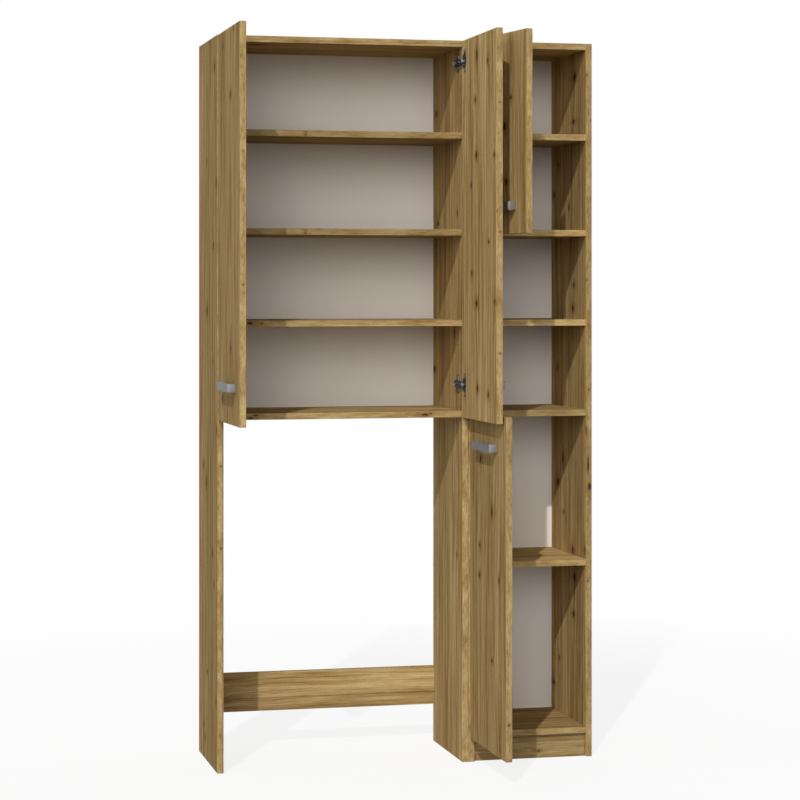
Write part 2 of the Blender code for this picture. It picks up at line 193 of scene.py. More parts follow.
# Knotty oak decor. All lengths are metres.
oak = {
    "dark": (0.215, 0.122, 0.038),
    "middle": (0.372, 0.252, 0.105),
    "light": (0.52, 0.385, 0.184),
    "redBrown": (0.205, 0.105, 0.040),      # stain round a knot and in the odd streak
    "knotBrown": (0.092, 0.043, 0.017),
    "knotBlack": (0.024, 0.012, 0.007),
    "staveWidth": 0.064,
    "staveTones": (0.88, 1.12),
    "staveShift": 9.0,          # how far along the decor a stave's own stretch may start
    "jointTone": 0.76,          # the thin line between two staves
    "jointWidth": (0.010, 0.035),           # how far off it is still full, and gone, in stave widths
    "noises": {                 # turns in a metre along and across, detail, sharpness, distortion
        "bands": ((1.1, 17), 2.0, 0.5, 0.3),
        "streaks": ((2.4, 66), 3.0, 0.62),
        "fibres": ((7, 330), 3.0, 0.6),
        "hairs": ((30, 1500), 2.0, 0.6),
        "pores": ((85, 3400), 1.0),
        "stain": ((1.7, 48), 2.0, 0.6),
        "wander": ((1.3, 5), 1.0),
    },
    "strengths": {"bands": 0.15, "streaks": 0.30, "fibres": 0.27, "hairs": 0.20},   # how much each shows
    "stain": (0.60, 0.78, 0.0, 0.42),       # the noise where it starts and is full, then its share there
    "pores": (0.60, 0.72),      # the noise where they start and are full
    "poreTone": 0.78,
    "wander": 0.022,            # how far the grain wanders sideways
    "grainShift": 0.010,        # how far it bends round a knot
    "shiftFade": 0.16,          # how fast that bend fades away from the knot
    "seedStep": (2.3, 1.7, 0),  # how far apart two boards' stretches of the decor lie
    "roughness": (0.60, 0.78),
    "shine": 0.005,             # specular level
    "relief": {"fibres": 0.5, "pores": -0.5, "knots": 0.6},                 # knots lie deeper by theirs
    "bump": (0.0003, 0.35),     # height and strength
}

# Knots. Nearness is 1 at a knot's rim and 0 in its middle.
knots = {
    "pitch": (0.46, 0.13),      # one place for a scattered knot in each cell of this size, along and across
    "halfLength": (0.006, 0.015),
    "slimness": 0.40,           # its width as a share of its length
    "powers": (1.6, 1.0, 1.0),  # round at its waist and pointed at its ends
    "evenOut": 0.77,            # evens out how fast it fades from middle to rim
    "tail": (0.40, 2.3, 2.3),   # with long thin tails
    "tailPaleness": 0.45,
    "zones": (                  # a colour, the nearness where it starts and is full, and its share there
        ("redBrown", 3.2, 0.9, 0.50),
        ("knotBrown", 1.15, 0.55, 0.92),
        ("knotBlack", 0.66, 0.30, 0.92),
    ),
    "dip": (1.1, 0.5),          # the nearness where its dip starts and is full
    "ragOften": (90, 260, 260),             # ragged rims: turns in a metre along, across and through
    "ragReach": (0.010, 0.004, 0.003),
    "dotDepth": 0.004,          # how far a dot goes in from its edge
    "none": 50.0,               # nearness where no knot is about
}


def spindle(tree, fromMiddle):
    # how near a place is to a knot, where fromMiddle counts in the knot's half length and half widths
    away = vectors(tree, "ABSOLUTE", fromMiddle)
    body = vectors(tree, "DOT_PRODUCT", vectors(tree, "POWER", away, knots["powers"]), (1, 1, 1))
    tail = vectors(tree, "DOT_PRODUCT", away, knots["tail"])
    return maths(tree, "MINIMUM", maths(tree, "POWER", body, knots["evenOut"]),
                 maths(tree, "ADD", tail, knots["tailPaleness"]))


def scatteredKnots(tree, place, share):
    # one in some of the cells of a stretched grid
    long, wide = knots["pitch"]
    cells = newNode(tree, "ShaderNodeTexVoronoi", voronoi_dimensions="2D", feature="F1")
    cells.inputs["Scale"].default_value = 1
    inCells = vectors(tree, "MULTIPLY", place, (1 / long, 1 / wide, 0))
    tree.links.new(inCells, cells.inputs["Vector"])
    fromCentre = vectors(tree, "SUBTRACT", inCells, cells.outputs["Position"])
    chance, size, _ = partsOf(tree, cells.outputs["Color"])
    halfLength = spread(tree, size, 0, 1, *knots["halfLength"])
    away = vectors(tree, "MULTIPLY", fromCentre, (long, wide / knots["slimness"], 0))
    nearness = spindle(tree, vectors(tree, "DIVIDE", away, vectorOf(tree, halfLength, halfLength, 1.0)))
    missing = maths(tree, "GREATER_THAN", chance, share)
    return maths(tree, "ADD", nearness, maths(tree, "MULTIPLY", missing, knots["none"]))


def chosenKnots(tree, place, board, edgeAt):
    # the knots listed for a board, and the dots on its edge
    rag = newNode(tree, "ShaderNodeTexNoise", noise_dimensions="3D")
    rag.inputs["Scale"].default_value = 1
    tree.links.new(vectors(tree, "MULTIPLY", place, knots["ragOften"]), rag.inputs["Vector"])
    fray = vectors(tree, "SUBTRACT", rag.outputs["Color"], (0.5, 0.5, 0.5))
    frayed = vectors(tree, "ADD", place, vectors(tree, "MULTIPLY", fray, knots["ragReach"]))
    chosen = [((along, across, 0), (1 / halfLong, 1 / halfWide, 0))
              for along, across, halfLong, halfWide in board.get("knots", [])]
    chosen += [((along, edgeAt, through), (1 / halfLong, 1 / knots["dotDepth"], 1 / halfWide))
               for along, through, halfLong, halfWide in board.get("dots", [])]
    nearest = knots["none"]
    for centre, inverse in chosen:
        fromMiddle = vectors(tree, "MULTIPLY", vectors(tree, "SUBTRACT", frayed, centre), inverse)
        nearest = maths(tree, "MINIMUM", nearest, spindle(tree, fromMiddle))
    return nearest


def makeOakPattern():
    # In: a place on the board as (along the grain, across it), how near the closest chosen knot is, the
    # board's tone, which is partly painted light, the share of scattered knots, how short the streaks are,
    # and how strongly the figure shows.
    tree = bpy.data.node_groups.new("knotty oak pattern", "ShaderNodeTree")
    tree.interface.new_socket("Place", in_out="INPUT", socket_type="NodeSocketVector")
    for name in ("Knot", "Tone", "Knots", "Shortness", "Contrast"):
        tree.interface.new_socket(name, in_out="INPUT", socket_type="NodeSocketFloat")
    tree.interface.new_socket("Colour", in_out="OUTPUT", socket_type="NodeSocketColor")
    for name in ("Roughness", "Relief"):
        tree.interface.new_socket(name, in_out="OUTPUT", socket_type="NodeSocketFloat")
    given = newNode(tree, "NodeGroupInput").outputs
    place = given["Place"]
    nearest = maths(tree, "MINIMUM", scatteredKnots(tree, place, given["Knots"]), given["Knot"])

    # the grain bends round the knots and wanders a little along the board
    pull = maths(tree, "MULTIPLY", maths(tree, "POWER", nearest, 2.0), -oak["shiftFade"])
    pull = maths(tree, "MULTIPLY", maths(tree, "EXPONENT", pull), oak["grainShift"])
    wander = maths(tree, "MULTIPLY", grainNoise(tree, place, *oak["noises"]["wander"]), oak["wander"])
    along, across, _ = partsOf(tree, place)
    bent = maths(tree, "ADD", across, maths(tree, "ADD", pull, wander))

    # staves, each with its own tone and its own stretch of figure
    staves = newNode(tree, "ShaderNodeTexVoronoi", voronoi_dimensions="1D", feature="F1")
    joint = newNode(tree, "ShaderNodeTexVoronoi", voronoi_dimensions="1D", feature="DISTANCE_TO_EDGE")
    for node in (staves, joint):
        node.inputs["Scale"].default_value = 1
        tree.links.new(maths(tree, "DIVIDE", across, oak["staveWidth"]), node.inputs["W"])
    staveTone, staveStart, _ = partsOf(tree, staves.outputs["Color"])
    lengthwise = maths(tree, "MULTIPLY", along, given["Shortness"])
    lengthwise = maths(tree, "ADD", lengthwise, maths(tree, "MULTIPLY", staveStart, oak["staveShift"]))
    figurePlace = vectorOf(tree, lengthwise, bent)
    noise = {name: grainNoise(tree, figurePlace, *oak["noises"][name])
             for name in ("bands", "streaks", "fibres", "hairs", "pores", "stain")}

    figure = 0.0
    for name, strength in oak["strengths"].items():
        figure = maths(tree, "ADD", figure, spread(tree, noise[name], *noiseRange, -strength, strength))
    figure = maths(tree, "MULTIPLY_ADD", figure, given["Contrast"], 0.5)
    colour = rampOf(tree, figure, [(0, oak["dark"]), (0.5, oak["middle"]), (1, oak["light"])])
    colour = mixColours(tree, spread(tree, noise["stain"], *oak["stain"], True), colour, oak["redBrown"])

    # one grey factor gathers the staves, their joints, the pores and the board's tone, partly its own and
    # partly painted light
    tone = spread(tree, staveTone, 0, 1, *oak["staveTones"])
    seam = spread(tree, joint.outputs["Distance"], *oak["jointWidth"], oak["jointTone"], 1.0, True)
    poreTone = spread(tree, noise["pores"], *oak["pores"], 1.0, oak["poreTone"], True)
    for factor in (seam, poreTone, given["Tone"]):
        tone = maths(tree, "MULTIPLY", tone, factor)
    colour = mixColours(tree, 1.0, colour, vectorOf(tree, tone, tone, tone), "MULTIPLY")

    for name, start, full, share in knots["zones"]:
        colour = mixColours(tree, spread(tree, nearest, start, full, 0.0, share, True), colour, oak[name])

    relief = maths(tree, "MULTIPLY", noise["fibres"], oak["relief"]["fibres"])
    pits = spread(tree, noise["pores"], *oak["pores"], 0.0, oak["relief"]["pores"])
    dips = spread(tree, nearest, *knots["dip"], 0.0, oak["relief"]["knots"], True)
    relief = maths(tree, "SUBTRACT", maths(tree, "ADD", relief, pits), dips)
    out = newNode(tree, "NodeGroupOutput").inputs
    tree.links.new(colour, out["Colour"])
    tree.links.new(spread(tree, noise["fibres"], *noiseRange, *oak["roughness"]), out["Roughness"])
    tree.links.new(relief, out["Relief"])
    return tree


# How each board's grain runs, as the board's own axes for along, across and through
grainWays = {"side": "ZYX", "door": "ZXY", "shelf": "XYZ", "rail": "XZY"}

# Each door's joint and the side that it hangs on: 1 is left, -1 right
doorHangs = {
    "wide_left_door": ("wide_left_swing", 1),
    "wide_right_door": ("wide_right_swing", -1),
    "column_upper_door": ("column_upper_swing", 1),
    "column_lower_door": ("column_lower_swing", 1),
}

# Every oak board. "tone" lightens or darkens it and "edge" its edge strips on top of that; these are
# partly the board's own tone and partly painted light and shade, set to make a board or strip lighter or
# darker for the light that falls on it. "seed" picks its stretch of the decor, and "scatter" is its share
# of scattered knots. The knots that show in the photo are listed as (along, across, half length, half
# width). Along is the height, or for a level board the distance from its left end. Across is the distance
# from the front edge, or for a door from its hinge line. Dots sit on an edge: (along, through, half
# length, half width).
oakBoards = {
    # painted shade: its tone is lowered to darken its left-facing outer face
    "wide_left_side": {
        "way": "side", "tone": 0.86, "edge": 1.17, "seed": 1.0, "scatter": 0.12,
        "knots": [
            (1.745, 0.044, 0.014, 0.009), (1.458, 0.017, 0.018, 0.006), (1.303, 0.062, 0.012, 0.007),
            (1.138, 0.163, 0.020, 0.011), (1.013, 0.070, 0.009, 0.005), (0.844, 0.010, 0.014, 0.005),
            (0.745, 0.217, 0.014, 0.007), (0.705, 0.175, 0.026, 0.010), (0.535, 0.073, 0.016, 0.006),
            (0.459, 0.046, 0.009, 0.005), (0.227, 0.160, 0.009, 0.006), (0.173, 0.017, 0.017, 0.006),
            (1.516, 0.166, 0.009, 0.005), (0.084, 0.217, 0.009, 0.006),
        ],
        "dots": [(0.757, 0.009, 0.003, 0.0022), (0.555, 0.010, 0.003, 0.0022)],
    },
    "wide_right_side": {
        "way": "side", "tone": 1.08, "edge": 0.96, "seed": 2.0, "scatter": 0.2,
        "knots": [
            (1.654, 0.268, 0.012, 0.010), (1.364, 0.246, 0.008, 0.007), (1.081, 0.076, 0.016, 0.006),
            (0.983, 0.285, 0.012, 0.010), (0.940, 0.060, 0.055, 0.0016),
        ],
    },
    "wide_top": {"way": "shelf", "tone": 1.02, "edge": 1.0, "seed": 3.0, "scatter": 0.3,
                 "knots": [(0.09, 0.06, 0.03, 0.012)]},
    # the photo repeats the decor on the upper two shelves
    "wide_upper_shelf": {"way": "shelf", "tone": 0.84, "edge": 0.98, "seed": 4.0, "scatter": 0.25,
                         "dots": [(0.206, 0.004, 0.005, 0.0025), (0.241, 0.0155, 0.007, 0.0014)]},
    "wide_middle_shelf": {"way": "shelf", "tone": 0.84, "edge": 0.96, "seed": 4.0, "scatter": 0.25,
                          "dots": [(0.206, 0.004, 0.005, 0.0025), (0.241, 0.0155, 0.007, 0.0014)]},
    "wide_lower_shelf": {"way": "shelf", "tone": 1.12, "edge": 1.0, "seed": 6.0, "scatter": 0.25,
                         "dots": [(0.095, 0.009, 0.0035, 0.002)]},
    "wide_bottom": {"way": "shelf", "tone": 1.14, "edge": 0.95, "seed": 7.0, "scatter": 0.25,
                    "dots": [(0.511, 0.008, 0.014, 0.004), (0.525, 0.011, 0.004, 0.003),
                             (0.068, 0.005, 0.011, 0.0032), (0.079, 0.011, 0.012, 0.0022)]},
    "wide_rear_rail": {"way": "rail", "tone": 0.95, "edge": 1.0, "seed": 8.0, "scatter": 0.4},
    "column_left_side": {"way": "side", "tone": 0.97, "edge": 1.0, "seed": 9.0, "scatter": 0.3},
    # painted light and shade: its tone is raised to lighten its inner face, and its edge strip is lowered
    "column_right_side": {
        "way": "side", "tone": 1.16, "edge": 0.68, "seed": 10.0, "scatter": 0.15,
        "knots": [
            (1.744, 0.095, 0.015, 0.013), (1.628, 0.105, 0.009, 0.012), (1.700, 0.102, 0.075, 0.0022),
            (1.522, 0.235, 0.009, 0.006), (1.444, 0.276, 0.010, 0.006), (1.204, 0.102, 0.010, 0.008),
            (1.144, 0.110, 0.014, 0.010), (0.748, 0.197, 0.020, 0.006), (0.683, 0.242, 0.014, 0.010),
            (0.608, 0.189, 0.006, 0.006), (0.516, 0.110, 0.015, 0.010), (0.447, 0.095, 0.018, 0.012),
            (0.350, 0.105, 0.012, 0.010), (0.400, 0.100, 0.060, 0.0020), (0.218, 0.231, 0.008, 0.006),
            (0.146, 0.279, 0.010, 0.009),
        ],
        "dots": [
            (1.741, 0.004, 0.003, 0.002), (1.623, 0.013, 0.003, 0.0015), (1.217, 0.003, 0.004, 0.002),
            (0.936, 0.008, 0.003, 0.0018), (0.834, 0.002, 0.018, 0.0022), (0.745, 0.006, 0.034, 0.0035),
            (0.689, 0.010, 0.016, 0.0070), (0.448, 0.005, 0.004, 0.002),
        ],
    },
    "column_top": {"way": "shelf", "tone": 1.0, "edge": 0.88, "seed": 11.0, "scatter": 0.25},
    "column_upper_shelf": {"way": "shelf", "tone": 1.05, "edge": 1.14, "seed": 12.0, "scatter": 0.25},
    "column_middle_shelf": {"way": "shelf", "tone": 1.05, "edge": 1.2, "seed": 13.0, "scatter": 0.25},
    "column_lower_shelf": {"way": "shelf", "tone": 1.05, "edge": 1.3, "seed": 14.0, "scatter": 0.25},
    "column_door_shelf": {"way": "shelf", "tone": 1.0, "edge": 0.78, "seed": 15.0, "scatter": 0.25},
    "column_linen_shelf": {"way": "shelf", "tone": 1.3, "edge": 0.8, "seed": 16.0, "scatter": 0.25},
    "column_bottom": {"way": "shelf", "tone": 1.12, "edge": 0.8, "seed": 17.0, "scatter": 0.25},
    "column_plinth": {"way": "rail", "tone": 0.67, "edge": 1.0, "seed": 18.0, "scatter": 0.15,
                      "knots": [(0.172, 0.018, 0.006, 0.0035)]},
    # painted shade: its tone is lowered to darken its left-facing outer face
    "wide_left_door": {
        "way": "door", "tone": 0.85, "edge": 1.1, "seed": 19.0, "scatter": 0.15,
        "knots": [
            (1.810, 0.229, 0.008, 0.006), (1.784, 0.067, 0.015, 0.007), (1.656, 0.180, 0.016, 0.008),
            (1.052, 0.183, 0.017, 0.007), (0.927, 0.058, 0.014, 0.008),
        ],
        "dots": [(1.516, 0.003, 0.003, 0.0025), (1.204, 0.004, 0.003, 0.0025)],
    },
    # painted light: its tone is raised to lighten its inner face, which the open left door shades
    "wide_right_door": {
        "way": "door", "tone": 1.22, "edge": 0.81, "seed": 20.0, "scatter": 0.1,
        "knots": [
            (1.770, 0.133, 0.022, 0.009), (1.748, 0.233, 0.011, 0.006), (1.660, 0.117, 0.009, 0.006),
            (1.524, 0.128, 0.012, 0.009), (1.515, 0.293, 0.009, 0.006), (1.452, 0.081, 0.009, 0.006),
            (1.308, 0.240, 0.007, 0.006), (1.233, 0.085, 0.009, 0.006), (1.158, 0.129, 0.013, 0.010),
            (1.163, 0.296, 0.009, 0.006), (0.949, 0.140, 0.014, 0.008), (0.937, 0.237, 0.010, 0.007),
        ],
        "dots": [(1.640, 0.002, 0.003, 0.0025), (1.330, 0.002, 0.003, 0.0025), (1.040, 0.001, 0.003, 0.0025)],
    },
    "column_upper_door": {
        "way": "door", "tone": 1.09, "edge": 1.04, "seed": 21.0, "scatter": 0.15,
        "knots": [(1.590, 0.193, 0.012, 0.008), (1.659, 0.229, 0.008, 0.006), (1.455, 0.204, 0.011, 0.008)],
        "dots": [(1.505, 0.002, 0.003, 0.0025)],
    },
    "column_lower_door": {
        "way": "door", "tone": 1.0, "edge": 1.0, "seed": 22.0, "scatter": 0.1,
        "knots": [
            (0.773, 0.092, 0.014, 0.010), (0.650, 0.193, 0.024, 0.008), (0.557, 0.084, 0.010, 0.007),
            (0.483, 0.081, 0.010, 0.007), (0.489, 0.256, 0.011, 0.006), (0.286, 0.193, 0.009, 0.006),
            (0.105, 0.260, 0.045, 0.0016),
        ],
        "dots": [(0.150, 0.002, 0.003, 0.0025)],
    },
}

# An edge strip takes another stretch of the decor, with shorter streaks
edgeLook = {
    "shift": 3.7,           # how far off that stretch starts
    "contrast": 0.80,
    "shortness": {"side": 9.0, "door": 9.0, "shelf": 4.0, "rail": 4.0},
}


def hangOf(door):
    # its joint, the foot of its hinge line, its turn as it stands open at rest, and the side it hangs on
    jointName, sign = doorHangs[door]
    joint = joints[jointName]
    foot = Vector((joint["pos_m"][0], joint["pos_m"][1], 0))
    return joint, foot, math.radians(sign * joint["range_deg"][0]), sign


def doorWidth(door):
    # from the hinge line to the free edge, read off the door's box and its open angle
    joint, _, turn, sign = hangOf(door)
    return (joint["pos_m"][1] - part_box(door)[0].y) / math.sin(-sign * turn)


def looksAlong(tree, normal, axis):
    cosine = maths(tree, "ABSOLUTE", vectors(tree, "DOT_PRODUCT", normal, axis))
    return maths(tree, "GREATER_THAN", cosine, facingLimit)


def oakBoard(name, board, pattern):
    way = grainWays[board["way"]]
    corner, turn, sign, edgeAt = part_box(name)[0], 0.0, 1, 0.0
    if board["way"] == "door":
        _, corner, turn, sign = hangOf(name)
        edgeAt = doorWidth(name)
    swing = Matrix.Rotation(turn, 3, "Z")
    alongAxis, _, throughAxis = [swing @ Vector([letter == axis for axis in "XYZ"]) for letter in way]

    material, tree, shader = newMaterial(name + " oak", specular=oak["shine"])
    coords = newNode(tree, "ShaderNodeTexCoord")
    mapping = newNode(tree, "ShaderNodeMapping", vector_type="TEXTURE")
    mapping.inputs["Location"].default_value = corner
    mapping.inputs["Rotation"].default_value = (0, 0, turn)
    tree.links.new(coords.outputs["Object"], mapping.inputs["Vector"])
    own = dict(zip("XYZ", partsOf(tree, mapping.outputs[0])))
    along, across, through = [own[letter] for letter in way]
    if sign < 0:
        across = maths(tree, "MULTIPLY", across, -1)
    place = vectorOf(tree, along, across, through)

    # flat on the face, and wrapped round the edges so that the grain follows each edge strip
    onFace = looksAlong(tree, coords.outputs["Normal"], throughAxis)
    onEnd = looksAlong(tree, coords.outputs["Normal"], alongAxis)
    wrap = maths(tree, "ADD", across, through)
    flat = vectorOf(tree, along, wrap)
    strip = vectorOf(tree, maths(tree, "ADD", along, edgeLook["shift"]), wrap)
    end = vectorOf(tree, wrap, maths(tree, "ADD", along, through))
    spot = mixVectors(tree, onFace, mixVectors(tree, onEnd, strip, end), flat)
    spot = vectors(tree, "ADD", spot, [board["seed"] * step for step in oak["seedStep"]])

    # the tone and edge factors carry painted light and shade as well as each board's own colour
    tone, shortness = board["tone"], edgeLook["shortness"][board["way"]]
    decor = newNode(tree, "ShaderNodeGroup", node_tree=pattern)
    for socket, value in (
        ("Place", spot),
        ("Knot", chosenKnots(tree, place, board, edgeAt)),
        ("Tone", spread(tree, onFace, 0, 1, tone * board["edge"], tone)),
        ("Knots", board["scatter"]),
        ("Shortness", spread(tree, onFace, 0, 1, shortness, 1.0)),
        ("Contrast", spread(tree, onFace, 0, 1, edgeLook["contrast"], 1.0)),
    ):
        feed(tree, decor.inputs[socket], value)
    tree.links.new(decor.outputs["Colour"], shader.inputs["Base Color"])
    tree.links.new(decor.outputs["Roughness"], shader.inputs["Roughness"])
    addRelief(tree, shader, decor.outputs["Relief"], *oak["bump"])
    return material


oakPattern = makeOakPattern()
for boardName, boardFacts in oakBoards.items():
    dress(boardName, oakBoard(boardName, boardFacts, oakPattern))
print("oak boards dressed:", len(oakBoards))


# Thin back boards: pale on the inner side, raw brown fibre board at the back
backBoard = {
    "pale": (0.80, 0.765, 0.72),
    "paleSpots": (0.765, 0.725, 0.675),
    "raw": (0.36, 0.235, 0.135),
    "rawSpots": (0.25, 0.155, 0.085),
    "rawFlecks": (0.13, 0.078, 0.042),
    "cloud": (7, 4),            # how often each noise turns over in a metre, and its detail
    "fibre": (420, 3),
    "fleck": (150, 5),
    "fibreShare": (0.35, 0.65, 0.0, 1.0),   # the noise where each starts and is full, then its share there
    "cloudShare": (0.35, 0.65, 0.0, 0.45),
    "fleckShare": (0.60, 0.70, 0.0, 0.75),
    "roughness": 0.55,
    "shine": 0.3,               # specular level
    "bump": (0.0002, 0.2),      # height and strength
}


def backNoise(tree, coords, often, detail):
    node = newNode(tree, "ShaderNodeTexNoise")
    node.inputs["Scale"].default_value = often
    node.inputs["Detail"].default_value = detail
    tree.links.new(coords.outputs["Object"], node.inputs["Vector"])
    return node.outputs["Fac"]


def paleBack():
    look = backBoard
    material, tree, shader = newMaterial("pale back board", look["roughness"], specular=look["shine"])
    coords = newNode(tree, "ShaderNodeTexCoord")
    cloud, fibre, fleck = [backNoise(tree, coords, *look[name]) for name in ("cloud", "fibre", "fleck")]
    inner = mixColours(tree, cloud, look["pale"], look["paleSpots"])
    outer = mixColours(tree, spread(tree, fibre, *look["fibreShare"]), look["raw"], look["rawSpots"])
    outer = mixColours(tree, spread(tree, cloud, *look["cloudShare"]), outer, look["rawSpots"])
    outer = mixColours(tree, spread(tree, fleck, *look["fleckShare"], True), outer, look["rawFlecks"])
    forwards = vectors(tree, "DOT_PRODUCT", coords.outputs["Normal"], (0, -1, 0))
    onInner = maths(tree, "GREATER_THAN", forwards, facingLimit)
    tree.links.new(mixColours(tree, onInner, outer, inner), shader.inputs["Base Color"])
    addRelief(tree, shader, fibre, *look["bump"])
    return material


backLook = paleBack()
for backName in ("wide_back", "column_back"):
    dress(backName, backLook)
print("back boards dressed")


# Fittings: satin grey strap handles, nickel plated hinges. "edge" is how much of a glancing view they
# reflect, "brushed" how often the brush lines turn over in a metre.
metals = {
    "satin strap": {
        "colour": (0.235, 0.232, 0.235), "edge": (0.37, 0.38, 0.40), "roughness": (0.54, 0.64),
        "metallic": 0.6, "brushed": (60, 60, 2600),
    },
    "nickel plate": {
        "colour": (0.19, 0.20, 0.218), "edge": (0.42, 0.43, 0.46), "roughness": (0.34, 0.48),
        "metallic": 1.0, "brushed": (500, 500, 500),
    },
}
brushLines = {"detail": 3, "tones": (0.9, 1.08), "bump": (0.0001, 0.15)}


def satinMetal(name):
    look = metals[name]
    material, tree, shader = newMaterial(name, metallic=look["metallic"])
    shader.inputs["Specular Tint"].default_value = (*look["edge"], 1)
    coords = newNode(tree, "ShaderNodeTexCoord")
    lines = newNode(tree, "ShaderNodeTexNoise")
    lines.inputs["Scale"].default_value = 1
    lines.inputs["Detail"].default_value = brushLines["detail"]
    brushed = vectors(tree, "MULTIPLY", coords.outputs["Object"], look["brushed"])
    tree.links.new(brushed, lines.inputs["Vector"])
    noise = lines.outputs["Fac"]
    tree.links.new(spread(tree, noise, *noiseRange, *look["roughness"]), shader.inputs["Roughness"])
    tone = spread(tree, noise, *noiseRange, *brushLines["tones"])
    colour = mixColours(tree, 1.0, look["colour"], vectorOf(tree, tone, tone, tone), "MULTIPLY")
    tree.links.new(colour, shader.inputs["Base Color"])
    addRelief(tree, shader, noise, *brushLines["bump"])
    return material


strapLook = satinMetal("satin strap")
nickelLook = satinMetal("nickel plate")


# Modelling by hand: start from a primitive, work on it in edit mode, finish with modifiers
spare = 0.001               # how far cutters stand out of what they cut, and joined blocks overlap
sameWay = {"faces": 0.9, "edges": 0.99}     # the least cosine with the way asked for
roundFrom = math.radians(40)                # rims at least this sharp are rounded
smoothTo = math.radians(35)                 # faces that meet at less than this are shaded as one


def pick(piece):
    # selected and active, alone
    bpy.ops.object.select_all(action="DESELECT")
    bpy.context.view_layer.objects.active = piece
    piece.select_set(True)


def startFrom(addPrimitive, name, stretch=(1, 1, 1), **settings):
    addPrimitive(**settings)
    piece = bpy.context.object
    piece.name = name
    piece.scale = stretch
    bpy.ops.object.transform_apply(location=True, rotation=True, scale=True)
    return piece


def block(name, low, high):
    middle = [(a + b) / 2 for a, b in zip(low, high)]
    stretch = [b - a for a, b in zip(low, high)]
    return startFrom(bpy.ops.mesh.primitive_cube_add, name, stretch, size=1, location=middle)


def disc(name, centre, radius, low, high, axis="Y", sides=64):
    # centre is given in the two other axes, in the order x, y, z
    turn = {"Y": (math.pi / 2, 0, 0), "Z": (0, 0, 0)}[axis]
    place = list(centre)
    place.insert("XYZ".index(axis), (low + high) / 2)
    return startFrom(bpy.ops.mesh.primitive_cylinder_add, name, vertices=sides, radius=radius,
                     depth=high - low, location=place, rotation=turn)


def edit(piece):
    pick(piece)
    bpy.ops.object.mode_set(mode="EDIT")
    bpy.ops.mesh.select_mode(type="FACE")
    bpy.ops.mesh.select_all(action="DESELECT")


def pickFaces(piece, way):
    # faces that look along way
    mesh = bmesh.from_edit_mesh(piece.data)
    for face in mesh.faces:
        face.select_set(face.normal.dot(way) > sameWay["faces"])
    bmesh.update_edit_mesh(piece.data)


def pickEdges(piece, way):
    # edges that run along way
    bpy.ops.mesh.select_mode(type="EDGE")
    mesh = bmesh.from_edit_mesh(piece.data)
    for edge in mesh.edges:
        run = (edge.verts[1].co - edge.verts[0].co).normalized()
        edge.select_set(abs(run.dot(way)) > sameWay["edges"])
    bmesh.update_edit_mesh(piece.data)


def extrude(step):
    bpy.ops.mesh.extrude_region_move(TRANSFORM_OT_translate={"value": step})


def doneEditing():
    bpy.ops.mesh.select_all(action="SELECT")
    bpy.ops.mesh.remove_doubles(threshold=0.00001)
    bpy.ops.mesh.normals_make_consistent(inside=False)
    bpy.ops.object.mode_set(mode="OBJECT")


def applyModifier(piece, kind, **settings):
    pick(piece)
    modifier = piece.modifiers.new(kind.title(), kind)
    for name, value in settings.items():
        setattr(modifier, name, value)
    bpy.ops.object.modifier_apply(modifier=modifier.name)


def roundRims(piece, width, segments=2):
    applyModifier(piece, "BEVEL", width=width, segments=segments, limit_method="ANGLE", angle_limit=roundFrom)


def combine(piece, tool, operation):
    applyModifier(piece, "BOOLEAN", operation=operation, object=tool, solver="EXACT")
    bpy.data.objects.remove(tool)


def joinAll(pieces):
    pick(pieces[0])
    for piece in pieces:
        piece.select_set(True)
    bpy.ops.object.join()
    return pieces[0]


def smoothed(piece, look):
    pick(piece)
    bpy.ops.object.shade_smooth_by_angle(angle=smoothTo)
    piece.data.materials.clear()
    piece.data.materials.append(look)
    return piece


def copyAt(model, name, place):
    copy = model.copy()
    copy.data = model.data.copy()
    copy.name = name
    copy.data.transform(place)
    bpy.context.scene.collection.objects.link(copy)
    return copy


# Every fitting is drawn about the hinge line of a door hung on its left: x runs along the closed door,
# y into the unit, and z is nought at the fitting's middle height. All lengths are metres.
strapSizes = {
    "length": 0.160,
    "height": 0.020,
    "reach": 0.021,         # from the door's face to the strap's outer side
    "thickness": 0.004,
    "bend": 0.0046,         # outer radius of each bend
    "bendSteps": 9,
    "footGap": 0.0003,      # between its feet and the door
    "rimRound": 0.0007,
    "rimSteps": 3,
    "doorFace": 0.0055,     # from the hinge line to the door's outer face
}


def makeStrap():
    # one foot on the door, bent over, along, bent back to the other foot
    thick, bend = strapSizes["thickness"], strapSizes["bend"]
    leg = strapSizes["reach"] - bend
    gap, stretch = strapSizes["footGap"], (thick, strapSizes["height"], 1)
    piece = startFrom(bpy.ops.mesh.primitive_plane_add, "strap model", stretch, size=1,
                      location=(thick / 2, -gap, 0), rotation=(math.pi / 2, 0, 0))
    edit(piece)
    bpy.ops.mesh.select_all(action="SELECT")
    extrude((0, gap - leg, 0))
    quarter = {"steps": strapSizes["bendSteps"], "angle": math.pi / 2, "axis": (0, 0, -1)}
    bpy.ops.mesh.spin(center=(bend, -leg, 0), **quarter)
    extrude((strapSizes["length"] - 2 * bend, 0, 0))
    bpy.ops.mesh.spin(center=(strapSizes["length"] - bend, -leg, 0), **quarter)
    extrude((0, leg - gap, 0))
    doneEditing()
    roundRims(piece, strapSizes["rimRound"], strapSizes["rimSteps"])
    return smoothed(piece, strapLook)


screwSizes = {
    "height": 0.0008,
    "sunk": 0.0003,         # how deep its head sits in the metal
    "rimRound": 0.00035,
    "cross": (0.0040, 0.0009),              # length and width
    "crossDepth": 0.0005,
}


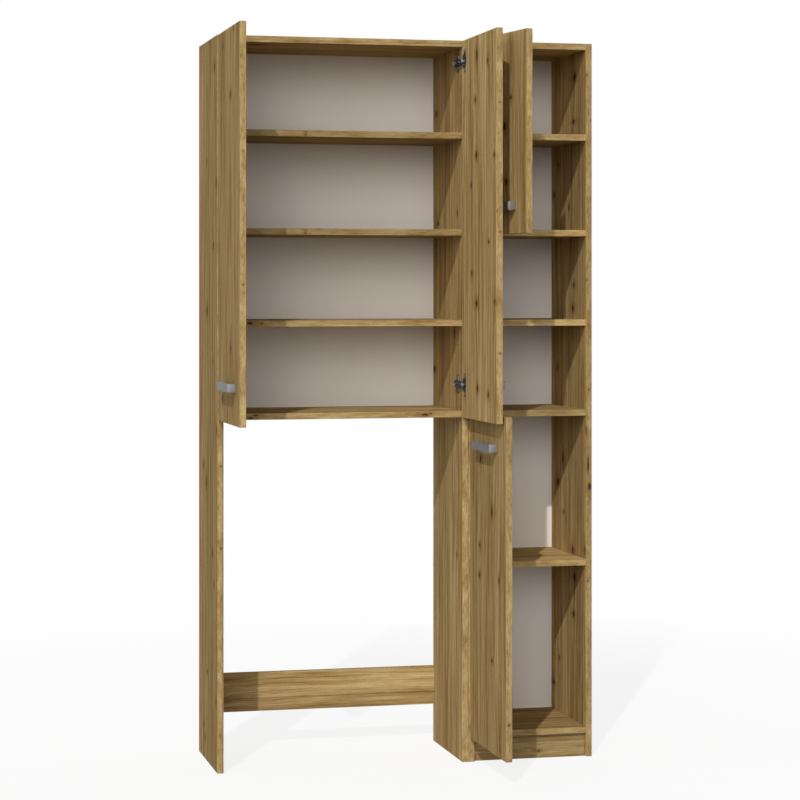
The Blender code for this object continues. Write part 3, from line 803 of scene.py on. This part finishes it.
def makeScrew(radius):
    # a low round head with a cross, its seat at nought and its top along y
    top = screwSizes["height"]
    head = disc("screw model", (0, 0), radius, -screwSizes["sunk"], top, sides=28)
    edit(head)
    pickFaces(head, Vector((0, 1, 0)))
    bpy.ops.mesh.bevel(offset=screwSizes["rimRound"], segments=2, affect="EDGES")
    doneEditing()
    length, width = screwSizes["cross"]
    for across, up in ((length, width), (width, length)):
        cross = block("cross", (-across / 2, top - screwSizes["crossDepth"], -up / 2),
                      (across / 2, top + spare, up / 2))
        combine(head, cross, "DIFFERENCE")
    return head


def addScrews(pieces, radius, places, turn):
    # screws in the finished pieces, then all of it in nickel
    model = makeScrew(radius)
    heads = [copyAt(model, "screw", Matrix.Translation(place) @ turn) for place in places]
    bpy.data.objects.remove(model)
    return smoothed(joinAll([*pieces, *heads]), nickelLook)


def roundedPlate(name, low, high, axis, radius):
    # a flat plate with round corners, flat across axis
    piece = block(name, low, high)
    edit(piece)
    pickEdges(piece, Vector([letter == axis for letter in "XYZ"]))
    bpy.ops.mesh.bevel(offset=radius, segments=7, affect="EDGES")
    doneEditing()
    return piece


# Which way a screw's head looks
intoUnit = Matrix.Identity(4)
offSideBoard = Matrix.Rotation(-math.pi / 2, 4, "Z")

cupSizes = {
    "centre": 0.0145,       # from the hinge line
    "radius": 0.0172,
    "wall": 0.0007,
    "floor": -0.0017,
    "floorStep": 0.0003,    # the floor's raised middle
    "floorRim": 0.003,      # the low ring round it
    "flangeRadius": 0.0180,
    "flangeLow": 0.0108,
    "flangeHigh": 0.0116,
    "earCentre": 0.0205,
    "earWidth": 0.0138,
    "earHalfLength": 0.0298,
    "earRound": 0.0062,
    "screwOff": 0.024,      # from the middle height
    "screwRadius": 0.0037,
    "rimRound": 0.0002,
}


def makeCup():
    # a flange with two ears, and below it the cup let into the door
    high, low, radius = cupSizes["flangeHigh"], cupSizes["flangeLow"], cupSizes["radius"]
    centre = (cupSizes["centre"], 0)
    cup = disc("cup model", centre, cupSizes["flangeRadius"], low, high)
    edit(cup)
    pickFaces(cup, Vector((0, -1, 0)))
    bpy.ops.mesh.inset(thickness=cupSizes["flangeRadius"] - radius)
    extrude((0, cupSizes["floor"] - cupSizes["wall"] - low, 0))
    doneEditing()
    ear, half = cupSizes["earCentre"], cupSizes["earWidth"] / 2
    ears = roundedPlate("ears", (ear - half, low, -cupSizes["earHalfLength"]),
                        (ear + half, high, cupSizes["earHalfLength"]), "Y", cupSizes["earRound"])
    combine(cup, ears, "UNION")
    hollow = disc("hollow", centre, radius - cupSizes["wall"], cupSizes["floor"], high + 2 * spare)
    edit(hollow)
    pickFaces(hollow, Vector((0, -1, 0)))
    bpy.ops.mesh.inset(thickness=cupSizes["floorRim"])
    extrude((0, cupSizes["floorStep"], 0))
    doneEditing()
    combine(cup, hollow, "DIFFERENCE")
    roundRims(cup, cupSizes["rimRound"])
    places = [(ear, high, side * cupSizes["screwOff"]) for side in (-1, 1)]
    return addScrews([cup], cupSizes["screwRadius"], places, intoUnit)


armSizes = {
    "width": 0.0150,
    "top": 0.0160,          # from the hinge line, away from the side board
    "underside": {"wide": 0.0119, "column": 0.0105},
    "front": 0.0140,
    "end": 0.0740,
    "rimRound": 0.0004,
    "trayRim": 0.0016,
    "trayDepth": 0.0014,
    "screws": (0.026, 0.058),
    "screwRadius": 0.0034,
    "legBack": 0.0130,
    "legToe": -0.0013,
    "toeWidth": 0.0104,
    "fingerThickness": 0.0016,
    "fingerWidth": 0.0058,
    "fingerRound": 0.0003,
    "knuckleRadius": 0.0013,
    "knuckleRound": 0.0002,
}


def makeArm(unit):
    # a pressed arm with a tray for its two screws, a leg and a finger that holds the knuckle
    top, half = armSizes["top"], armSizes["width"] / 2
    front, toe = armSizes["front"], armSizes["legToe"]
    arm = block("arm model", (armSizes["underside"][unit], front, -half), (top, armSizes["end"], half))
    edit(arm)
    pickFaces(arm, Vector((1, 0, 0)))
    bpy.ops.mesh.inset(thickness=armSizes["trayRim"])
    extrude((-armSizes["trayDepth"], 0, 0))
    doneEditing()
    roundRims(arm, armSizes["rimRound"])
    leg = block("leg", (armSizes["legBack"], toe, -half), (top, front + spare, half))
    edit(leg)
    pickFaces(leg, Vector((0, -1, 0)))
    bpy.ops.transform.resize(value=(1, 1, armSizes["toeWidth"] / armSizes["width"]))
    doneEditing()
    roundRims(leg, armSizes["rimRound"])
    reach = armSizes["fingerWidth"] / 2
    finger = block("finger", (0, toe, -reach),
                   (armSizes["legBack"] + spare, toe + armSizes["fingerThickness"], reach))
    roundRims(finger, armSizes["fingerRound"])
    knuckle = disc("knuckle", (0, 0), armSizes["knuckleRadius"], -reach, reach, "Z", sides=24)
    roundRims(knuckle, armSizes["knuckleRound"])
    places = [(top - armSizes["trayDepth"], along, 0) for along in armSizes["screws"]]
    return addScrews([arm, leg, finger, knuckle], armSizes["screwRadius"], places, offSideBoard)


plateSizes = {
    "high": {"wide": 0.0116, "column": 0.0102},             # from the hinge line, away from the side board
    "thickness": 0.0021,
    "front": 0.0325,
    "end": 0.0785,
    "width": 0.0178,
    "round": 0.004,
    "wingCentre": 0.0495,
    "wingWidth": 0.0158,
    "wingHalfLength": 0.0239,
    "wingRound": 0.0072,
    "screwOff": 0.016,      # from the middle height
    "screwRadius": 0.0037,
    "rimRound": 0.0003,
}


def makePlate(unit):
    # a flat plate along the board with a cross piece, screwed on
    high = plateSizes["high"][unit]
    low, half = high - plateSizes["thickness"], plateSizes["width"] / 2
    plate = roundedPlate("plate model", (low, plateSizes["front"], -half), (high, plateSizes["end"], half),
                         "X", plateSizes["round"])
    wing, half, reach = plateSizes["wingCentre"], plateSizes["wingWidth"] / 2, plateSizes["wingHalfLength"]
    wings = roundedPlate("wings", (low, wing - half, -reach), (high, wing + half, reach),
                         "X", plateSizes["wingRound"])
    combine(plate, wings, "UNION")
    roundRims(plate, plateSizes["rimRound"])
    places = [(high, wing, side * plateSizes["screwOff"]) for side in (-1, 1)]
    return addScrews([plate], plateSizes["screwRadius"], places, offSideBoard)


def midHeight(name):
    low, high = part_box(name)
    return (low.z + high.z) / 2


def strapFoot(door, home, sign):
    # how far the strap's near foot is from the hinge line
    back = home.inverted()
    return min(sign * (back @ corner.co).x for corner in parts[door + "_handle"].data.vertices)


def fit(model, node, place, body):
    piece = copyAt(model, "fine_" + node, place)
    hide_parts(node)
    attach(piece, body)


def fitDoor(door, models):
    joint, hingeFoot, turn, sign = hangOf(door)
    unit = door.split("_")[0]
    post = Matrix.Translation(hingeFoot)
    home = post @ Matrix.Rotation(turn, 4, "Z")
    turned = Matrix.Rotation(0 if sign > 0 else math.pi, 4, "Y")    # over, for a door hung on its right
    handle = door + "_handle"
    footAt = (sign * strapFoot(door, home, sign), -strapSizes["doorFace"], midHeight(handle))
    foot = Matrix.Translation(footAt)
    fit(models["handle"], handle, home @ foot @ turned, joint["child"])
    for level in ("upper", "lower"):
        for kind in ("cup", "arm", "plate"):
            node = door + "_hinge_" + kind + "_" + level
            at = Matrix.Translation((0, 0, midHeight(node)))
            if kind == "cup":
                fit(models["cup"], node, home @ at @ turned, joint["child"])
            else:
                fit(models[unit, kind], node, post @ at @ turned, joint["parent"])


fittings = {"handle": makeStrap(), "cup": makeCup()}
for unitName in ("wide", "column"):
    fittings[unitName, "arm"] = makeArm(unitName)
    fittings[unitName, "plate"] = makePlate(unitName)
for doorName in doorHangs:
    fitDoor(doorName, fittings)
for fitting in fittings.values():
    bpy.data.objects.remove(fitting)
print("fittings modelled")


# Studio: pale floor, a key light from the upper left, soft fills from all sides
studio = {
    "floorSize": 900.0,
    "floorColour": (0.95, 0.95, 0.95),
    "floorBounce": (0.5, 0.5, 0.5),         # what the floor throws back on the cabinet
    "floorGlow": 0.84,      # how much of the floor by the cabinet the camera sees as plain white
    "floorFade": (1.0, 3.5),                # from here to there the floor turns to all white
    "floorRoughness": 0.9,
    "ambient": 0.165,
    "ambientColour": (1.0, 0.99, 0.955),
    "lamps": {              # the way the light travels, its strength, how wide the lamp looks in degrees
        "key light": ((0.48, 1.0, -0.86), 1.95, 0.8),
        "front fill": ((0.15, 1.0, -0.25), 0.79, 30.0),
        "front left fill": ((0.6, 1.0, -0.25), 0.66, 30.0),
        "left fill": ((1.0, 0.3, -0.25), 0.5, 60.0),
        "right fill": ((-1.0, -0.1, -0.25), 0.45, 60.0),
        "back fill": ((-0.25, -1.0, -0.35), 0.6, 60.0),
    },
}


def aimedSun(name, way, strength, angle):
    light = bpy.data.lights.new(name, "SUN")
    light.energy = strength
    light.angle = math.radians(angle)
    lamp = bpy.data.objects.new(name, light)
    lamp.rotation_euler = Vector(way).to_track_quat("-Z", "Y").to_euler()
    bpy.context.scene.collection.objects.link(lamp)


def showsWhite(tree):
    # 1 for what the camera, a reflection or clear material sees directly
    path = newNode(tree, "ShaderNodeLightPath").outputs
    seen = maths(tree, "MAXIMUM", path["Is Camera Ray"], path["Is Glossy Ray"])
    return maths(tree, "MAXIMUM", seen, path["Is Transmission Ray"])


def paleWorld():
    world = bpy.data.worlds.new("pale surround")
    bpy.context.scene.world = world
    world.use_nodes = True
    tree = world.node_tree
    light = tree.nodes["Background"]
    light.inputs["Color"].default_value = (*studio["ambientColour"], 1)
    light.inputs["Strength"].default_value = studio["ambient"]
    white = newNode(tree, "ShaderNodeBackground")
    white.inputs["Color"].default_value = (1, 1, 1, 1)
    white.inputs["Strength"].default_value = 1
    either = newNode(tree, "ShaderNodeMixShader")
    tree.links.new(showsWhite(tree), either.inputs[0])
    tree.links.new(light.outputs[0], either.inputs[1])
    tree.links.new(white.outputs[0], either.inputs[2])
    tree.links.new(either.outputs[0], tree.nodes["World Output"].inputs["Surface"])


def paleFloor():
    bpy.ops.mesh.primitive_plane_add(size=studio["floorSize"], location=(0, 0, 0))
    floor = bpy.context.object
    floor.name = "floor"
    material, tree, shader = newMaterial("pale floor", studio["floorRoughness"], specular=0.0)
    white = showsWhite(tree)
    shade = mixColours(tree, white, studio["floorBounce"], studio["floorColour"])
    tree.links.new(shade, shader.inputs["Base Color"])
    glow = newNode(tree, "ShaderNodeEmission")
    glow.inputs["Color"].default_value = (1, 1, 1, 1)
    glow.inputs["Strength"].default_value = 1
    either = newNode(tree, "ShaderNodeMixShader")
    coords = newNode(tree, "ShaderNodeTexCoord")
    away = vectors(tree, "LENGTH", coords.outputs["Object"])
    whiteness = spread(tree, away, *studio["floorFade"], studio["floorGlow"], 1.0, True)
    tree.links.new(maths(tree, "MULTIPLY", white, whiteness), either.inputs[0])
    tree.links.new(shader.outputs[0], either.inputs[1])
    tree.links.new(glow.outputs[0], either.inputs[2])
    tree.links.new(either.outputs[0], tree.nodes["Material Output"].inputs["Surface"])
    floor.data.materials.append(material)


paleWorld()
paleFloor()
for lampName, (lampWay, lampStrength, lampAngle) in studio["lamps"].items():
    aimedSun(lampName, lampWay, lampStrength, lampAngle)
print("studio set")


# The photo's viewpoint, counted from the wide unit's front left corner on the floor
photoView = {
    "place": (-0.9209, -5.8334, 1.1905),
    "turn": 13.342,     # degrees to the right of straight ahead, held level
    "lens": 107.63,     # millimetres
    "sensor": 36.0,     # its width, in millimetres
    "shiftY": -0.1372,
    "farEnd": 1000.0,
}


def placeCamera():
    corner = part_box("wide_left_side")[0]
    camera = bpy.data.cameras.new("photo view")
    camera.lens = photoView["lens"]
    camera.sensor_width = photoView["sensor"]
    camera.shift_y = photoView["shiftY"]
    camera.clip_end = photoView["farEnd"]
    stand = bpy.data.objects.new("photo view", camera)
    stand.location = corner + Vector(photoView["place"])
    stand.rotation_euler = (math.radians(90), 0, -math.radians(photoView["turn"]))
    bpy.context.scene.collection.objects.link(stand)
    bpy.context.scene.camera = stand


placeCamera()
bpy.context.scene.view_settings.view_transform = "Standard"
print("camera placed")
